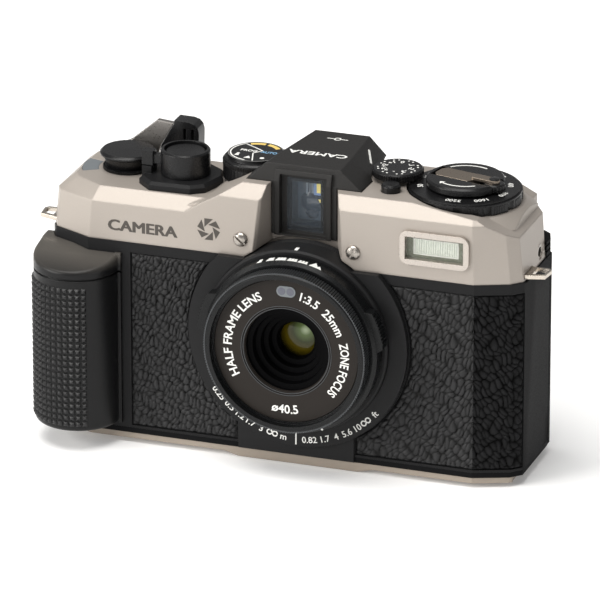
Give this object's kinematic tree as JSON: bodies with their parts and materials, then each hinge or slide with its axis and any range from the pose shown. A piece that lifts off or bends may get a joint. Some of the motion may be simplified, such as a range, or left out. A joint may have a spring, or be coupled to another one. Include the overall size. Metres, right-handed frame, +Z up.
{
  "type": "half frame camera",
  "caption": "Compact half frame film camera with a zone focus lens, vertical finder window, built-in flash, advance lever, top dials, rewind crank and hinged back.",
  "frame": {"origin": "centre of the tripod socket's mouth in the base, level with the lowest face of the base", "axes": "-Y out of the lens, +X to the right of someone facing the lens, +Z up"},
  "size_m": [0.1368, 0.0499, 0.0794],
  "materials": {
    "champagne": "satin champagne paint",
    "base_champagne": "satin champagne paint",
    "black_metal": "satin black",
    "black_plastic": "fine matt grain",
    "gloss_black": "gloss",
    "leather": "pebbled grain",
    "rubber": "studded",
    "gunmetal": "satin metallic",
    "steel": "bright",
    "spring_steel": "blued",
    "glass": "clear with a coating",
    "smoke_glass": "smoked",
    "diffuser": "ribbed and clear",
    "mirror": "polished",
    "brass": "turned",
    "board": "laminate"
  },
  "bodies": {
    "case": {"top_cover": "champagne", "finder_housing": "black_plastic", "finder_window": "smoke_glass", "eyepiece_frame": "black_plastic", "eyepiece_lens": "glass", "front_body": "black_plastic", "chassis": "black_plastic", "bottom_cover": "base_champagne", "front_leather": "leather", "lens_base_disc": "black_plastic", "lens_collar": "black_plastic", "shutter_plate": "black_metal", "flash_bezel": "champagne", "flash_window": "diffuser", "flash_reflector": "mirror", "flash_tube": "glass", "case_screws": "steel", "strap_lugs": "steel", "button_base": "black_plastic", "counter_window": "smoke_glass", "hinge_pin": "steel", "battery_tray": "black_plastic", "tripod_bush": "brass", "cable_socket": "steel", "body_floor": "black_plastic", "main_board": "board"},
    "focus": {"focus_ring": "black_plastic"},
    "barrel": {"lens_barrel": "black_metal", "name_ring": "black_metal", "lens_cell": "black_metal", "meter_window": "smoke_glass", "front_element": "glass", "rear_element": "glass"},
    "blade_a": {"shutter_blade_a": "spring_steel"},
    "blade_b": {"shutter_blade_b": "spring_steel"},
    "button": {"shutter_button": "black_metal"},
    "switch": {"main_switch": "black_metal"},
    "lever": {"advance_lever": "gunmetal", "lever_cap": "black_metal", "lever_tip": "gloss_black"},
    "counter": {"counter_disc": "black_plastic"},
    "sprocket": {"sprocket": "black_plastic"},
    "spool": {"take_up_spool": "black_plastic"},
    "mode": {"mode_dial": "black_metal"},
    "exposure": {"exposure_dial": "black_metal"},
    "iso": {"iso_dial": "black_metal"},
    "iso_lock": {"iso_lock_button": "black_metal"},
    "sleeve": {"rewind_sleeve": "steel"},
    "knob": {"rewind_knob": "black_metal", "rewind_fork": "black_plastic"},
    "crank": {"rewind_crank": "gunmetal"},
    "handle": {"crank_handle": "black_plastic"},
    "latch": {"door_latch": "steel"},
    "door": {"back_cover": "black_plastic", "back_leather": "leather", "memo_holder": "black_plastic"},
    "plate": {"pressure_plate": "black_metal"},
    "grip": {"grip_cover": "rubber"},
    "coin_screw": {"grip_screw": "steel"},
    "release": {"rewind_release": "steel"}
  },
  "joints": [
    {"name": "focus_turn", "type": "hinge", "parent": "case", "child": "focus", "pos_m": [0, -0.02, 0.035], "axis": [0, 1, 0], "range_deg": [0, 120]},
    {"name": "lens_travel", "type": "slide", "parent": "case", "child": "barrel", "axis": [0, -1, 0], "range_m": [0, 0.0028]},
    {"name": "blade_a_swing", "type": "hinge", "parent": "case", "child": "blade_a", "pos_m": [-0.0065, -0.0091, 0.044], "axis": [0, 1, 0], "range_deg": [0, 30]},
    {"name": "blade_b_swing", "type": "hinge", "parent": "case", "child": "blade_b", "pos_m": [0.0065, -0.0088, 0.044], "axis": [0, 1, 0], "range_deg": [-30, 0]},
    {"name": "shutter_press", "type": "slide", "parent": "case", "child": "button", "axis": [0, 0, -1], "range_m": [0, 0.0012], "stiffness_N_per_m": 400, "springref_m": -0.001},
    {"name": "main_switch_turn", "type": "hinge", "parent": "case", "child": "switch", "pos_m": [-0.0355, -0.0011, 0.074], "axis": [0, 0, 1], "range_deg": [0, 35]},
    {"name": "advance", "type": "hinge", "parent": "case", "child": "lever", "pos_m": [-0.0528, 0.0033, 0.072], "axis": [0, 0, 1], "range_deg": [0, 165]},
    {"name": "counter_turn", "type": "hinge", "parent": "case", "child": "counter", "pos_m": [-0.0528, 0.0033, 0.066], "axis": [0, 0, 1], "range_deg": [0, 330]},
    {"name": "sprocket_turn", "type": "hinge", "parent": "case", "child": "sprocket", "pos_m": [-0.019, 0.0049, 0.03], "axis": [0, 0, 1], "range_deg": [0, 235]},
    {"name": "spool_turn", "type": "hinge", "parent": "case", "child": "spool", "pos_m": [-0.0355, 0.0005, 0.03], "axis": [0, 0, 1], "range_deg": [0, 200]},
    {"name": "mode_turn", "type": "hinge", "parent": "case", "child": "mode", "pos_m": [-0.0186, 0.005, 0.073], "axis": [0, 0, 1], "continuous": true},
    {"name": "exposure_turn", "type": "hinge", "parent": "case", "child": "exposure", "pos_m": [0.02, 0.0038, 0.076], "axis": [0, 0, 1], "range_deg": [-108, 108]},
    {"name": "iso_turn", "type": "hinge", "parent": "case", "child": "iso", "pos_m": [0.0382, 0.0032, 0.073], "axis": [0, 0, 1], "range_deg": [-100, 100]},
    {"name": "iso_lock_press", "type": "slide", "parent": "case", "child": "iso_lock", "axis": [0, 0, -1], "range_m": [0, 0.0008], "stiffness_N_per_m": 300, "springref_m": -0.001},
    {"name": "knob_pull", "type": "slide", "parent": "case", "child": "sleeve", "axis": [0, 0, 1], "range_m": [0, 0.01]},
    {"name": "knob_turn", "type": "hinge", "parent": "sleeve", "child": "knob", "pos_m": [0.0382, 0.0032, 0.075], "axis": [0, 0, 1], "continuous": true},
    {"name": "crank_unfold", "type": "hinge", "parent": "knob", "child": "crank", "pos_m": [0.03099, 0.00487, 0.0762], "axis": [-0.225, -0.9744, 0], "range_deg": [0, 110]},
    {"name": "handle_spin", "type": "hinge", "parent": "crank", "child": "handle", "pos_m": [0.04648, 0.00129, 0.077], "axis": [0, 0, 1], "continuous": true},
    {"name": "latch_lift", "type": "slide", "parent": "case", "child": "latch", "axis": [0, 0, 1], "range_m": [0, 0.003]},
    {"name": "back_open", "type": "hinge", "parent": "case", "child": "door", "pos_m": [-0.0669, 0.0156, 0.028], "axis": [0, 0, 1], "range_deg": [0, 115]},
    {"name": "plate_press", "type": "slide", "parent": "door", "child": "plate", "axis": [0, 1, 0], "range_m": [0, 0.0008], "stiffness_N_per_m": 250, "springref_m": -0.001},
    {"name": "grip_off", "type": "slide", "parent": "case", "child": "grip", "axis": [0, -1, 0], "range_m": [0, 0.03]},
    {"name": "coin_screw_turn", "type": "hinge", "parent": "grip", "child": "coin_screw", "pos_m": [-0.06, -0.0205, 0.007], "axis": [0, 0, 1], "continuous": true},
    {"name": "release_press", "type": "slide", "parent": "case", "child": "release", "axis": [0, 0, 1], "range_m": [0, 0.001], "stiffness_N_per_m": 200, "springref_m": -0.001}
  ],
  "couplings": [
    {"joint": "focus_turn", "follows": "lens_travel", "rad_per_m": 747.9},
    {"joint": "blade_b_swing", "follows": "blade_a_swing", "ratio": -1},
    {"joint": "counter_turn", "follows": "advance", "ratio": 0.0346},
    {"joint": "sprocket_turn", "follows": "advance", "ratio": 1.3846},
    {"joint": "spool_turn", "follows": "advance", "ratio": 1.196},
    {"joint": "latch_lift", "follows": "knob_pull", "ratio": 0.3}
  ]
}
